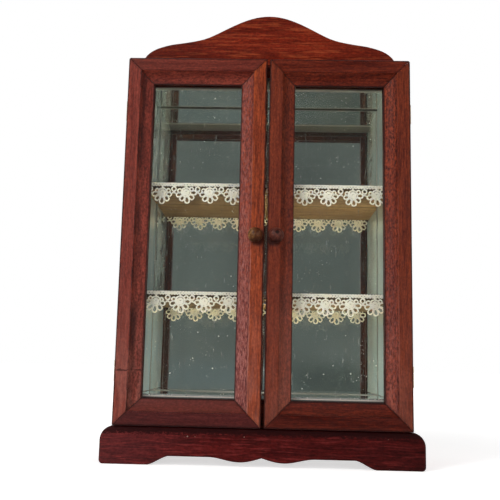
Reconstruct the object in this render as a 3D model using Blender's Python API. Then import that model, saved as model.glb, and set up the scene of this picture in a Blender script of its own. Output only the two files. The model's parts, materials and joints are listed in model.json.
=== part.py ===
"""A small glazed display case: a mirror-lined wooden carcass on a shaped plinth, with two hinged glass doors.

The case is laid out in its own coordinates, with the door fronts at y = 0 and the ground at z = 0.
The root empty then moves it so that the middle of its footprint is the origin.
"""

import math

import bmesh
import bpy
from mathutils import Matrix, Vector

MM = 0.001

# Clearances
FIT_GAP = 0.3 * MM
MITRE_GAP = 0.15 * MM
DOOR_GAP = 1.6 * MM
DOOR_SEAT_GAP = 0.6 * MM
DOOR_FOOT_GAP = 0.4 * MM

# Doors
CASE_WIDTH = 168.0 * MM
DOOR_HEIGHT = 216.0 * MM
DOOR_THICKNESS = 10.0 * MM
FRAME_WIDTH = 15.3 * MM
DOOR_CORNER_RADIUS = 1.6 * MM
DOOR_CORNER_STEPS = 6
FLAT_WIDTH = 7.7 * MM
QUIRK_DEPTH = 0.6 * MM
COVE_DEPTH = 4.2 * MM
LIP_THICKNESS = 1.1 * MM
ARRIS_RADIUS = 0.8 * MM
REBATE_WIDTH = 3.5 * MM
GLASS_THICKNESS = 1.8 * MM
BEAD_THICKNESS = 1.8 * MM

# Knobs
KNOB_DIAMETER = 8.6 * MM
KNOB_LENGTH = 9.0 * MM
KNOB_NECK_DIAMETER = 4.4 * MM
KNOB_NECK_LENGTH = 1.6 * MM
KNOB_TENON_DIAMETER = 3.0 * MM
KNOB_TENON_LENGTH = 6.0 * MM
KNOB_INSET = 5.2 * MM
KNOB_HEIGHT = 108.3 * MM

# Carcass
CARCASS_DEPTH = 55.8 * MM
SIDE_THICKNESS = 8.5 * MM
TOP_THICKNESS = 7.1 * MM
BOTTOM_THICKNESS = 16.0 * MM
BACK_THICKNESS = 2.4 * MM
BACK_INSET = 0.4 * MM
BACK_REBATE = 3.8 * MM
MIRROR_THICKNESS = 2.0 * MM
MIRROR_SETBACK = 0.8 * MM
FLOOR_HEIGHT = 38.7 * MM
EASED_EDGE = 0.5 * MM

# Shelves and their lace
SHELF_THICKNESS = 4.0 * MM
SHELF_SETBACK = 6.6 * MM
SHELF_HOUSING = 3.0 * MM
LOWER_SHELF_RISE = 60.2 * MM
UPPER_SHELF_RISE = 126.1 * MM
LACE_HEIGHT = 13.3 * MM
LACE_JOINT_HEIGHT = 7.0 * MM
LACE_THICKNESS = 0.8 * MM
LACE_REPEAT = 14.4 * MM

# Plinth
PLINTH_WIDTH = 182.5 * MM
PLINTH_HEIGHT = 21.0 * MM
PLINTH_SETBACK = 3.5 * MM
PLINTH_CORNER_RADIUS = 8.0 * MM
PLINTH_EDGE_RADIUS = 1.2 * MM
PLINTH_TOE_RADIUS = 2.2 * MM
FOOT_WIDTH = 27.4 * MM
FOOT_SLOPE_WIDTH = 11.5 * MM
FOOT_RISE = 4.9 * MM
LOBE_REACH = 30.0 * MM
LOBE_CENTRE = 12.5 * MM
LOBE_DROP = 2.5 * MM

# Pediment
PEDIMENT_WIDTH = 155.0 * MM
PEDIMENT_HEIGHT = 32.0 * MM
PEDIMENT_THICKNESS = 8.0 * MM
PEDIMENT_SHOULDER_HEIGHT = 12.5 * MM
PEDIMENT_DOME_REACH = 57.0 * MM
PEDIMENT_FLOW_CENTRE = 51.0 * MM
PEDIMENT_FLOW_REACH = 16.0 * MM
PEDIMENT_FLOW_RISE = 1.3 * MM

# Hinges
HINGE_HEIGHT = 12.0 * MM
HINGE_END_DISTANCE = 30.0 * MM
HINGE_LEAF_WIDTH = 5.0 * MM
HINGE_LEAF_THICKNESS = 0.6 * MM
HINGE_BARREL_RADIUS = 1.0 * MM
HINGE_PIN_RADIUS = 0.5 * MM
HINGE_RUNNING_GAP = 0.1 * MM
HINGE_KNUCKLE_GAP = 0.15 * MM
HINGE_HEAD_HEIGHT = 0.5 * MM

# Magnetic catches
MAGNET_DIAMETER = 4.0 * MM
MAGNET_LENGTH = 3.0 * MM
STRIKE_DIAMETER = 5.0 * MM
STRIKE_THICKNESS = 0.6 * MM
CATCH_OFFSET = 12.0 * MM

# Smoothness of round shapes
KNOB_SIDES = 28
ROD_SIDES = 16
CURVE_STEPS = 10
COVE_STEPS = 6
TOE_STEPS = 4

# Places worked out from the sizes above
HALF_WIDTH = CASE_WIDTH / 2
DOOR_BOTTOM = PLINTH_HEIGHT + DOOR_FOOT_GAP
CASE_TOP = DOOR_BOTTOM + DOOR_HEIGHT
CARCASS_FRONT = DOOR_THICKNESS + DOOR_SEAT_GAP
CARCASS_BACK = CARCASS_FRONT + CARCASS_DEPTH
SIDE_INNER = HALF_WIDTH - SIDE_THICKNESS
MIRROR_BACK = CARCASS_BACK - BACK_INSET - BACK_THICKNESS - FIT_GAP
MIRROR_FACE = MIRROR_BACK - MIRROR_THICKNESS
MIRROR_FRONT = CARCASS_FRONT + MIRROR_SETBACK
CEILING = CASE_TOP - TOP_THICKNESS - FIT_GAP - MIRROR_THICKNESS
BOTTOM_BOARD_TOP = FLOOR_HEIGHT - MIRROR_THICKNESS - FIT_GAP
ROOM_HALF_WIDTH = SIDE_INNER - FIT_GAP - MIRROR_THICKNESS
SHELF_FRONT = CARCASS_FRONT + SHELF_SETBACK
SHELF_TOPS = {"lower": FLOOR_HEIGHT + LOWER_SHELF_RISE, "upper": FLOOR_HEIGHT + UPPER_SHELF_RISE}
GLASS_FRONT = COVE_DEPTH + LIP_THICKNESS + FIT_GAP
BEAD_FRONT = GLASS_FRONT + GLASS_THICKNESS + FIT_GAP
REBATE_EDGE = FRAME_WIDTH - REBATE_WIDTH
HINGE_X = HALF_WIDTH + HINGE_BARREL_RADIUS + HINGE_RUNNING_GAP
HINGE_Y = DOOR_THICKNESS + DOOR_SEAT_GAP / 2
HINGE_CENTRES = {
    "upper": CASE_TOP - HINGE_END_DISTANCE,
    "lower": DOOR_BOTTOM + HINGE_END_DISTANCE,
}
FOOTPRINT_MIDDLE = (CARCASS_BACK - KNOB_LENGTH) / 2
SIDES = {"left": -1, "right": 1}


def clear_scene():
    for thing in list(bpy.data.objects):
        bpy.data.objects.remove(thing, do_unlink=True)


def make_material(name, colour, roughness, metallic=0.0, transmission=0.0):
    material = bpy.data.materials.new(name)
    material.use_nodes = True
    shader = material.node_tree.nodes["Principled BSDF"]
    shader.inputs["Base Color"].default_value = (*colour, 1.0)
    shader.inputs["Roughness"].default_value = roughness
    shader.inputs["Metallic"].default_value = metallic
    shader.inputs["Transmission Weight"].default_value = transmission
    material.diffuse_color = (*colour, 1.0)
    return material


def make_materials():
    return {
        "mahogany": make_material("mahogany", (0.16, 0.035, 0.018), 0.42),
        "dark_mahogany": make_material("dark_mahogany", (0.11, 0.02, 0.015), 0.45),
        "bare_wood": make_material("bare_wood", (0.45, 0.34, 0.22), 0.65),
        "mirror": make_material("mirror", (0.72, 0.78, 0.76), 0.03, metallic=1.0),
        "glass": make_material("glass", (0.95, 0.98, 0.97), 0.02, transmission=1.0),
        "lace": make_material("lace", (0.82, 0.79, 0.70), 0.9),
        "brass": make_material("brass", (0.70, 0.50, 0.20), 0.3, metallic=1.0),
        "steel": make_material("steel", (0.55, 0.55, 0.56), 0.35, metallic=1.0),
    }


def make_empty(name, place, parent=None):
    """An empty at a place in case coordinates, which its children keep as their own origin."""
    empty = bpy.data.objects.new(name, None)
    bpy.context.collection.objects.link(empty)
    empty.parent = parent
    empty.location = place - (Vector(parent["place"]) if parent else Vector())
    empty["place"] = place if parent else Vector()
    return empty


def make_object(name, shape, parent, material=None):
    """Turns a shape in case coordinates into an object that is carried by an empty."""
    place = Vector(parent["place"])
    bmesh.ops.translate(shape, verts=shape.verts, vec=-place)
    bmesh.ops.recalc_face_normals(shape, faces=shape.faces)
    mesh = bpy.data.meshes.new(name)
    shape.to_mesh(mesh)
    shape.free()
    made = bpy.data.objects.new(name, mesh)
    bpy.context.collection.objects.link(made)
    made.parent = parent
    if material:
        mesh.materials.append(material)
    return made


def smooth(made):
    made.data.shade_smooth()
    made.data.set_sharp_from_angle(angle=math.radians(40))


def combine(made, shape, operation):
    """Joins a shape to an object, or cuts it away, and keeps it as a hidden guide."""
    guide = make_object(f"{made.name}_{operation.lower()}_{len(made.modifiers)}", shape, made.parent)
    guide.hide_render = True
    guide.display_type = "WIRE"
    modifier = made.modifiers.new(guide.name, "BOOLEAN")
    modifier.object = guide
    modifier.operation = operation
    modifier.solver = "EXACT"


def ease_edges(made, width):
    modifier = made.modifiers.new("eased_edges", "BEVEL")
    modifier.width = width
    modifier.segments = 2
    modifier.limit_method = "ANGLE"
    modifier.angle_limit = math.radians(40)


def add_box(shape, low, high):
    low = Vector(low)
    size = Vector(high) - low
    matrix = Matrix.Translation(low + size / 2) @ Matrix.Diagonal((*size, 1.0))
    bmesh.ops.create_cube(shape, size=1.0, matrix=matrix)


def box_shape(low, high):
    shape = bmesh.new()
    add_box(shape, low, high)
    return shape


def add_rod(shape, start, end, radius, sides=ROD_SIDES):
    start = Vector(start)
    along = Vector(end) - start
    turn = along.to_track_quat("Z", "Y").to_matrix().to_4x4()
    matrix = Matrix.Translation(start + along / 2) @ turn
    bmesh.ops.create_cone(
        shape, cap_ends=True, segments=sides, radius1=radius, radius2=radius, depth=along.length, matrix=matrix
    )


def rod_shape(start, end, radius, sides=ROD_SIDES):
    shape = bmesh.new()
    add_rod(shape, start, end, radius, sides)
    return shape


def turned_shape(profile, place, axis, sides):
    """A profile of radii and distances along an axis, turned about that axis."""
    place = Vector(place)
    axis = Vector(axis)
    out = axis.orthogonal().normalized()
    shape = bmesh.new()
    verts = [shape.verts.new(place + out * radius + axis * distance) for radius, distance in profile]
    edges = [shape.edges.new(pair) for pair in zip(verts, verts[1:])]
    bmesh.ops.spin(shape, geom=verts + edges, cent=place, axis=axis, angle=2 * math.pi, steps=sides)
    bmesh.ops.remove_doubles(shape, verts=shape.verts, dist=FIT_GAP / 100)
    return shape


def board_shape(outline, front, back):
    """An outline in x and z, cut from a board between two depths."""
    shape = bmesh.new()
    face = shape.faces.new([shape.verts.new((x, front, z)) for x, z in outline])
    made = bmesh.ops.extrude_face_region(shape, geom=[face])
    moved = [item for item in made["geom"] if isinstance(item, bmesh.types.BMVert)]
    bmesh.ops.translate(shape, verts=moved, vec=(0.0, back - front, 0.0))
    return shape


def round_outline(shape, depth, radius, segments):
    """Rounds the edges of a board's outline on the face at one depth."""
    edges = [
        edge
        for edge in shape.edges
        if all(abs(vert.co.y - depth) < FIT_GAP / 10 for vert in edge.verts)
    ]
    bmesh.ops.bevel(
        shape, geom=edges, offset=radius, segments=segments, profile=0.5, affect="EDGES", clamp_overlap=True
    )


def ease(share):
    """A smooth rise from 0 to 1."""
    return (1 - math.cos(math.pi * share)) / 2


def ramp(share):
    """A rise from 0 to 1 that is steadier in the middle than ease."""
    return (share + ease(share)) / 2


def mirrored(half):
    """An outline whose right half is given from x = 0 outwards."""
    return [(-x, z) for x, z in reversed(half) if x > 0] + half


def plinth_outline():
    half = PLINTH_WIDTH / 2
    foot = half - FOOT_WIDTH
    lower = []
    for step in range(CURVE_STEPS):
        share = step / CURVE_STEPS
        lower.append((LOBE_CENTRE * share, FOOT_RISE - LOBE_DROP * math.sin(math.pi / 2 * share)))
    for step in range(CURVE_STEPS + 1):
        share = step / CURVE_STEPS
        x = LOBE_CENTRE + (LOBE_REACH - LOBE_CENTRE) * share
        lower.append((x, FOOT_RISE - LOBE_DROP * ease(1 - share)))
    for step in range(CURVE_STEPS + 1):
        share = step / CURVE_STEPS
        lower.append((foot - FOOT_SLOPE_WIDTH * (1 - share), FOOT_RISE * ramp(1 - share)))
    for step in range(TOE_STEPS + 1):
        angle = math.pi / 2 * step / TOE_STEPS
        x = half - PLINTH_TOE_RADIUS * (1 - math.sin(angle))
        lower.append((x, PLINTH_TOE_RADIUS * (1 - math.cos(angle))))
    upper = []
    for step in range(CURVE_STEPS + 1):
        angle = math.pi / 2 * step / CURVE_STEPS
        x = half - PLINTH_CORNER_RADIUS * (1 - math.sin(angle))
        upper.append((x, PLINTH_HEIGHT - PLINTH_CORNER_RADIUS * (1 - math.cos(angle))))
    return mirrored(lower) + [(x, z) for x, z in reversed(upper)] + [(-x, z) for x, z in upper]


def pediment_flow(x):
    """A slight fullness that carries the dome smoothly into the shoulder."""
    share = min(1.0, abs(x - PEDIMENT_FLOW_CENTRE) / PEDIMENT_FLOW_REACH)
    return PEDIMENT_FLOW_RISE * math.cos(math.pi / 2 * share) ** 2


def pediment_outline(base):
    half = PEDIMENT_WIDTH / 2
    crest = []
    for step in range(2 * CURVE_STEPS):
        share = step / (2 * CURVE_STEPS)
        rise = PEDIMENT_SHOULDER_HEIGHT + (PEDIMENT_HEIGHT - PEDIMENT_SHOULDER_HEIGHT) * ease(1 - share)
        x = PEDIMENT_DOME_REACH * share
        crest.append((x, base + rise + pediment_flow(x)))
    for step in range(CURVE_STEPS + 1):
        angle = math.pi / 2 * step / CURVE_STEPS
        x = PEDIMENT_DOME_REACH + (half - PEDIMENT_DOME_REACH) * math.sin(angle)
        crest.append((x, base + PEDIMENT_SHOULDER_HEIGHT * math.cos(angle) + pediment_flow(x)))
    return mirrored(crest)


def lace_outline(top):
    half = ROOM_HALF_WIDTH - FIT_GAP
    count = max(1, round(2 * half / LACE_REPEAT))
    steps = 8
    edge = []
    for step in range(count * steps + 1):
        swing = abs(math.sin(math.pi * step / steps)) ** 0.6
        depth = LACE_JOINT_HEIGHT + (LACE_HEIGHT - LACE_JOINT_HEIGHT) * swing
        edge.append((-half + 2 * half * step / (count * steps), top - depth))
    return edge + [(half, top), (-half, top)]


def make_side(side, materials, root):
    sign = SIDES[side]
    outer = sign * HALF_WIDTH
    inner = sign * SIDE_INNER
    low_x, high_x = sorted((outer, inner))
    side_top = CASE_TOP - TOP_THICKNESS - FIT_GAP
    shape = box_shape((low_x, CARCASS_FRONT, 0.0), (high_x, CARCASS_BACK, side_top))
    board = make_object(f"{side}_side", shape, root, materials["mahogany"])
    ease_edges(board, EASED_EDGE)
    cuts = bmesh.new()
    housing = sorted((inner + sign * SHELF_HOUSING, inner - sign * SIDE_THICKNESS))
    for top in SHELF_TOPS.values():
        add_box(
            cuts,
            (housing[0], SHELF_FRONT - FIT_GAP, top - SHELF_THICKNESS - FIT_GAP),
            (housing[1], MIRROR_BACK + FIT_GAP / 2, top + FIT_GAP),
        )
    combine(board, cuts, "DIFFERENCE")
    rebate = sorted((inner + sign * BACK_REBATE, inner - sign * SIDE_THICKNESS))
    rebate_low = (rebate[0], MIRROR_BACK, BOTTOM_BOARD_TOP - BOTTOM_THICKNESS)
    combine(board, box_shape(rebate_low, (rebate[1], CARCASS_BACK + BACK_THICKNESS, CASE_TOP)), "DIFFERENCE")
    mortises = bmesh.new()
    for centre in HINGE_CENTRES.values():
        leaf = sorted((outer + sign * SIDE_THICKNESS, outer - sign * (HINGE_LEAF_WIDTH + FIT_GAP)))
        reach = HINGE_HEIGHT / 2 + FIT_GAP
        add_box(
            mortises,
            (leaf[0], CARCASS_FRONT - DOOR_SEAT_GAP, centre - reach),
            (leaf[1], CARCASS_FRONT + HINGE_LEAF_THICKNESS + FIT_GAP, centre + reach),
        )
    combine(board, mortises, "DIFFERENCE")


def make_carcass(materials, root):
    wood = materials["mahogany"]
    for side in SIDES:
        make_side(side, materials, root)
    top_low = CASE_TOP - TOP_THICKNESS
    shape = box_shape((-HALF_WIDTH, CARCASS_FRONT, top_low), (HALF_WIDTH, CARCASS_BACK, CASE_TOP))
    top_board = make_object("top_board", shape, root, wood)
    ease_edges(top_board, EASED_EDGE)
    sockets = bmesh.new()
    for sign in SIDES.values():
        x = sign * (DOOR_GAP / 2 + CATCH_OFFSET)
        z = CASE_TOP - TOP_THICKNESS / 2
        start = (x, CARCASS_FRONT - DOOR_SEAT_GAP, z)
        end = (x, CARCASS_FRONT + MAGNET_LENGTH + FIT_GAP, z)
        add_rod(sockets, start, end, MAGNET_DIAMETER / 2 + FIT_GAP)
    combine(top_board, sockets, "DIFFERENCE")
    span = SIDE_INNER - FIT_GAP
    low = (-span, CARCASS_FRONT, BOTTOM_BOARD_TOP - BOTTOM_THICKNESS)
    bottom_board = make_object(
        "bottom_board", box_shape(low, (span, MIRROR_BACK, BOTTOM_BOARD_TOP)), root, wood
    )
    ease_edges(bottom_board, EASED_EDGE)
    back_half = SIDE_INNER + BACK_REBATE - FIT_GAP
    back = CARCASS_BACK - BACK_INSET
    low = (-back_half, back - BACK_THICKNESS, BOTTOM_BOARD_TOP - BOTTOM_THICKNESS + FIT_GAP)
    high = (back_half, back, CASE_TOP - TOP_THICKNESS - FIT_GAP)
    make_object("back_panel", box_shape(low, high), root, materials["bare_wood"])


def make_mirrors(materials, root):
    mirror = materials["mirror"]
    span = SIDE_INNER - FIT_GAP
    floor_low = FLOOR_HEIGHT - MIRROR_THICKNESS
    ceiling_high = CEILING + MIRROR_THICKNESS
    shape = box_shape((-span, MIRROR_FACE, floor_low), (span, MIRROR_BACK, ceiling_high))
    make_object("back_mirror", shape, root, mirror)
    back = MIRROR_FACE - FIT_GAP
    for name, low in (("floor_mirror", floor_low), ("ceiling_mirror", CEILING)):
        shape = box_shape((-span, MIRROR_FRONT, low), (span, back, low + MIRROR_THICKNESS))
        make_object(name, shape, root, mirror)
    levels = {
        "lower": (FLOOR_HEIGHT, SHELF_TOPS["lower"] - SHELF_THICKNESS),
        "middle": (SHELF_TOPS["lower"], SHELF_TOPS["upper"] - SHELF_THICKNESS),
        "upper": (SHELF_TOPS["upper"], CEILING),
    }
    for side, sign in SIDES.items():
        low_x, high_x = sorted((sign * ROOM_HALF_WIDTH, sign * span))
        for level, (low, high) in levels.items():
            shape = box_shape((low_x, MIRROR_FRONT, low + FIT_GAP), (high_x, back, high - FIT_GAP))
            make_object(f"{side}_{level}_mirror", shape, root, mirror)


def make_shelves(materials, root):
    half = SIDE_INNER + SHELF_HOUSING - FIT_GAP
    lace_back = SHELF_FRONT - FIT_GAP
    for level, top in SHELF_TOPS.items():
        shape = box_shape((-half, SHELF_FRONT, top - SHELF_THICKNESS), (half, MIRROR_FACE - FIT_GAP, top))
        make_object(f"{level}_shelf", shape, root, materials["bare_wood"])
        shape = board_shape(lace_outline(top), lace_back - LACE_THICKNESS, lace_back)
        make_object(f"{level}_lace", shape, root, materials["lace"])


def make_plinth(materials, root):
    shape = board_shape(plinth_outline(), PLINTH_SETBACK, CARCASS_FRONT - FIT_GAP)
    round_outline(shape, PLINTH_SETBACK, PLINTH_EDGE_RADIUS, 3)
    smooth(make_object("plinth", shape, root, materials["dark_mahogany"]))


def make_pediment(materials, root):
    front = CARCASS_FRONT
    back = front + PEDIMENT_THICKNESS
    shape = board_shape(pediment_outline(CASE_TOP + FIT_GAP), front, back)
    round_outline(shape, front, EASED_EDGE, 2)
    round_outline(shape, back, EASED_EDGE, 2)
    smooth(make_object("pediment", shape, root, materials["mahogany"]))


def frame_profile():
    """The moulding's section: distance in from the door's outer edge, and depth behind its front."""
    arc = []
    for step in range(4):
        angle = math.pi / 2 * step / 3
        arc.append((ARRIS_RADIUS * (1 - math.cos(angle)), ARRIS_RADIUS * (1 - math.sin(angle))))
    cove = [(FLAT_WIDTH, 0.0)]
    for step in range(COVE_STEPS + 1):
        share = step / COVE_STEPS
        depth = QUIRK_DEPTH + (COVE_DEPTH - QUIRK_DEPTH) * (1 - (1 - share) ** 2)
        cove.append((FLAT_WIDTH + (FRAME_WIDTH - FLAT_WIDTH) * share, depth))
    return arc + cove + [
        (FRAME_WIDTH, COVE_DEPTH + LIP_THICKNESS),
        (REBATE_EDGE, COVE_DEPTH + LIP_THICKNESS),
        (REBATE_EDGE, DOOR_THICKNESS),
        (0.0, DOOR_THICKNESS),
    ]


def member_shape(start, along, inward, length):
    """A length of the moulding with a mitre at each end."""
    shape = bmesh.new()
    loops = []
    for end in (0, 1):
        loop = []
        for across, depth in frame_profile():
            mitre = across + MITRE_GAP
            run = length - mitre if end else mitre
            loop.append(shape.verts.new(start + along * run + inward * across + Vector((0.0, depth, 0.0))))
        loops.append(loop)
        shape.faces.new(loop)
    for first in range(len(loops[0])):
        second = (first + 1) % len(loops[0])
        shape.faces.new((loops[0][first], loops[0][second], loops[1][second], loops[1][first]))
    return shape


def corner_shape(side):
    """What is cut away to round the outer top corner of a door."""
    sign = SIDES[side]
    top = DOOR_BOTTOM + DOOR_HEIGHT
    arc = []
    for step in range(DOOR_CORNER_STEPS + 1):
        angle = math.pi / 2 * step / DOOR_CORNER_STEPS
        x = HALF_WIDTH - DOOR_CORNER_RADIUS * (1 - math.sin(angle))
        arc.append((x, top - DOOR_CORNER_RADIUS * (1 - math.cos(angle))))
    start_x, start_z = (2 * first - second for first, second in zip(arc[0], arc[1]))
    end_x, end_z = (2 * last - before for last, before in zip(arc[-1], arc[-2]))
    outline = [(start_x, start_z), *arc, (end_x, end_z), (end_x, start_z)]
    return board_shape([(sign * x, z) for x, z in outline], -FIT_GAP, DOOR_THICKNESS + FIT_GAP)


def make_door_frame(side, materials, hinge):
    sign = SIDES[side]
    outer = sign * HALF_WIDTH
    width = HALF_WIDTH - DOOR_GAP / 2
    across = Vector((-sign, 0.0, 0.0))
    up = Vector((0.0, 0.0, 1.0))
    foot = Vector((outer, 0.0, DOOR_BOTTOM))
    members = {
        "hinge_stile": (foot, up, across, DOOR_HEIGHT),
        "meeting_stile": (foot + across * width, up, -across, DOOR_HEIGHT),
        "bottom_rail": (foot, across, up, width),
        "top_rail": (foot + up * DOOR_HEIGHT, across, -up, width),
    }
    made = {}
    for name, layout in members.items():
        made[name] = make_object(f"{side}_door_{name}", member_shape(*layout), hinge, materials["mahogany"])
    for name in ("hinge_stile", "top_rail"):
        combine(made[name], corner_shape(side), "DIFFERENCE")
    mortises = bmesh.new()
    reach = HINGE_HEIGHT / 2 + FIT_GAP
    leaf = sorted((outer + sign * SIDE_THICKNESS, outer - sign * (HINGE_LEAF_WIDTH + FIT_GAP)))
    for centre in HINGE_CENTRES.values():
        add_box(
            mortises,
            (leaf[0], DOOR_THICKNESS - HINGE_LEAF_THICKNESS - FIT_GAP, centre - reach),
            (leaf[1], DOOR_THICKNESS + DOOR_SEAT_GAP, centre + reach),
        )
    combine(made["hinge_stile"], mortises, "DIFFERENCE")
    knob_x = sign * (DOOR_GAP / 2 + KNOB_INSET)
    knob_z = DOOR_BOTTOM + KNOB_HEIGHT
    hole = rod_shape(
        (knob_x, -KNOB_LENGTH, knob_z),
        (knob_x, KNOB_TENON_LENGTH + FIT_GAP, knob_z),
        KNOB_TENON_DIAMETER / 2 + FIT_GAP,
    )
    combine(made["meeting_stile"], hole, "DIFFERENCE")
    strike_x = sign * (DOOR_GAP / 2 + CATCH_OFFSET)
    strike_z = CASE_TOP - TOP_THICKNESS / 2
    recess = rod_shape(
        (strike_x, DOOR_THICKNESS - STRIKE_THICKNESS - FIT_GAP, strike_z),
        (strike_x, DOOR_THICKNESS + DOOR_SEAT_GAP, strike_z),
        STRIKE_DIAMETER / 2 + FIT_GAP,
    )
    combine(made["top_rail"], recess, "DIFFERENCE")


def make_glazing(side, materials, hinge):
    sign = SIDES[side]
    inset = REBATE_EDGE + FIT_GAP
    outer = sign * (HALF_WIDTH - inset)
    meeting = sign * (DOOR_GAP / 2 + inset)
    low_x, high_x = sorted((outer, meeting))
    low_z = DOOR_BOTTOM + inset
    high_z = CASE_TOP - inset
    shape = box_shape((low_x, GLASS_FRONT, low_z), (high_x, GLASS_FRONT + GLASS_THICKNESS, high_z))
    make_object(f"{side}_door_glass", shape, hinge, materials["glass"])
    width = REBATE_WIDTH - FIT_GAP
    back = BEAD_FRONT + BEAD_THICKNESS
    beads = {
        "hinge_bead": (sorted((outer, outer - sign * width)), (low_z, high_z)),
        "meeting_bead": (sorted((meeting, meeting + sign * width)), (low_z, high_z)),
    }
    between = (low_x + width + FIT_GAP, high_x - width - FIT_GAP)
    beads["bottom_bead"] = (between, (low_z, low_z + width))
    beads["top_bead"] = (between, (high_z - width, high_z))
    for name, (span_x, span_z) in beads.items():
        shape = box_shape((span_x[0], BEAD_FRONT, span_z[0]), (span_x[1], back, span_z[1]))
        make_object(f"{side}_door_{name}", shape, hinge, materials["mahogany"])


def knob_profile():
    """Radius and distance in front of the door, from the tenon's end to the middle of the dome."""
    tenon = KNOB_TENON_DIAMETER / 2
    neck = KNOB_NECK_DIAMETER / 2
    profile = [(0.0, -KNOB_TENON_LENGTH), (tenon, -KNOB_TENON_LENGTH), (tenon, FIT_GAP), (neck, FIT_GAP)]
    head = KNOB_DIAMETER / 2
    middle = (KNOB_NECK_LENGTH + KNOB_LENGTH) / 2
    half_length = (KNOB_LENGTH - KNOB_NECK_LENGTH) / 2
    first = math.asin(neck / head)
    steps = 12
    for step in range(steps + 1):
        angle = first + (math.pi - first) * step / steps
        profile.append((head * math.sin(angle), middle - half_length * math.cos(angle)))
    profile[-1] = (0.0, KNOB_LENGTH)
    return profile


def make_knob(side, materials, hinge):
    place = (SIDES[side] * (DOOR_GAP / 2 + KNOB_INSET), 0.0, DOOR_BOTTOM + KNOB_HEIGHT)
    shape = turned_shape(knob_profile(), place, (0.0, -1.0, 0.0), KNOB_SIDES)
    smooth(make_object(f"{side}_door_knob", shape, hinge, materials["dark_mahogany"]))


def make_catch(side, materials, root, hinge):
    x = SIDES[side] * (DOOR_GAP / 2 + CATCH_OFFSET)
    z = CASE_TOP - TOP_THICKNESS / 2
    start = (x, CARCASS_FRONT, z)
    magnet = rod_shape(start, (x, CARCASS_FRONT + MAGNET_LENGTH, z), MAGNET_DIAMETER / 2)
    smooth(make_object(f"{side}_catch_magnet", magnet, root, materials["steel"]))
    start = (x, DOOR_THICKNESS - STRIKE_THICKNESS, z)
    strike = rod_shape(start, (x, DOOR_THICKNESS, z), STRIKE_DIAMETER / 2)
    smooth(make_object(f"{side}_door_strike", strike, hinge, materials["steel"]))


def knuckle_spans(centre):
    """The heights of the three knuckles from the bottom up: the outer two are on the case, the middle on the door."""
    third = HINGE_HEIGHT / 3
    low = centre - HINGE_HEIGHT / 2
    return [
        (low + third * step + HINGE_KNUCKLE_GAP / 2, low + third * (step + 1) - HINGE_KNUCKLE_GAP / 2)
        for step in range(3)
    ]


def make_leaf(name, sign, centre, depths, spans, parent, material):
    """A leaf plate in its mortise, with the knuckles that it carries and their bore."""
    edge = sign * (HINGE_X - HINGE_BARREL_RADIUS - HINGE_RUNNING_GAP)
    plate = sorted((edge, sign * (HALF_WIDTH - HINGE_LEAF_WIDTH)))
    low = centre - HINGE_HEIGHT / 2
    shape = box_shape((plate[0], depths[0], low), (plate[1], depths[1], low + HINGE_HEIGHT))
    leaf = make_object(name, shape, parent, material)
    tongues = bmesh.new()
    knuckles = bmesh.new()
    for bottom, top in spans:
        tongue = sorted((edge - sign * HINGE_LEAF_THICKNESS, sign * HINGE_X))
        add_box(tongues, (tongue[0], depths[0], bottom), (tongue[1], depths[1], top))
        add_rod(knuckles, (sign * HINGE_X, HINGE_Y, bottom), (sign * HINGE_X, HINGE_Y, top), HINGE_BARREL_RADIUS)
    combine(leaf, tongues, "UNION")
    combine(leaf, knuckles, "UNION")
    bore = rod_shape(
        (sign * HINGE_X, HINGE_Y, low - HINGE_HEIGHT),
        (sign * HINGE_X, HINGE_Y, low + 2 * HINGE_HEIGHT),
        HINGE_PIN_RADIUS + HINGE_RUNNING_GAP,
    )
    combine(leaf, bore, "DIFFERENCE")
    return leaf


def make_hinge(side, level, materials, root, hinge):
    sign = SIDES[side]
    centre = HINGE_CENTRES[level]
    spans = knuckle_spans(centre)
    brass = materials["brass"]
    case_depths = (CARCASS_FRONT, CARCASS_FRONT + HINGE_LEAF_THICKNESS)
    door_depths = (DOOR_THICKNESS - HINGE_LEAF_THICKNESS, DOOR_THICKNESS)
    make_leaf(f"{side}_{level}_hinge_case_leaf", sign, centre, case_depths, spans[::2], root, brass)
    make_leaf(f"{side}_{level}_hinge_door_leaf", sign, centre, door_depths, spans[1:2], hinge, brass)
    shoulder = HINGE_HEIGHT + HINGE_RUNNING_GAP
    head_radius = (HINGE_PIN_RADIUS + HINGE_BARREL_RADIUS) / 2
    profile = [
        (0.0, 0.0),
        (HINGE_PIN_RADIUS, 0.0),
        (HINGE_PIN_RADIUS, shoulder),
        (head_radius, shoulder),
        (head_radius, shoulder + HINGE_HEAD_HEIGHT),
        (0.0, shoulder + HINGE_HEAD_HEIGHT),
    ]
    place = (sign * HINGE_X, HINGE_Y, centre - HINGE_HEIGHT / 2)
    shape = turned_shape(profile, place, (0.0, 0.0, 1.0), ROD_SIDES)
    smooth(make_object(f"{side}_{level}_hinge_pin", shape, root, brass))


def make_door(side, materials, root):
    axis = Vector((SIDES[side] * HINGE_X, HINGE_Y, DOOR_BOTTOM))
    hinge = make_empty(f"{side}_door_axis", axis, root)
    make_door_frame(side, materials, hinge)
    make_glazing(side, materials, hinge)
    make_knob(side, materials, hinge)
    make_catch(side, materials, root, hinge)
    for level in HINGE_CENTRES:
        make_hinge(side, level, materials, root, hinge)


def main():
    clear_scene()
    materials = make_materials()
    root = make_empty("display_case", Vector((0.0, -FOOTPRINT_MIDDLE, 0.0)))
    make_carcass(materials, root)
    make_mirrors(materials, root)
    make_shelves(materials, root)
    make_plinth(materials, root)
    make_pediment(materials, root)
    for side in SIDES:
        make_door(side, materials, root)


main()
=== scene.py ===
"""Looks of the display case: finishes, lace edging, turned knobs, fasteners, camera, light and stage.

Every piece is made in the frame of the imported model, in metres.
The case's front faces -Y, and it stands on z = 0.
"""

import json
import math
import random

import bpy
import numpy as np
from mathutils import Matrix, Vector

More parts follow.
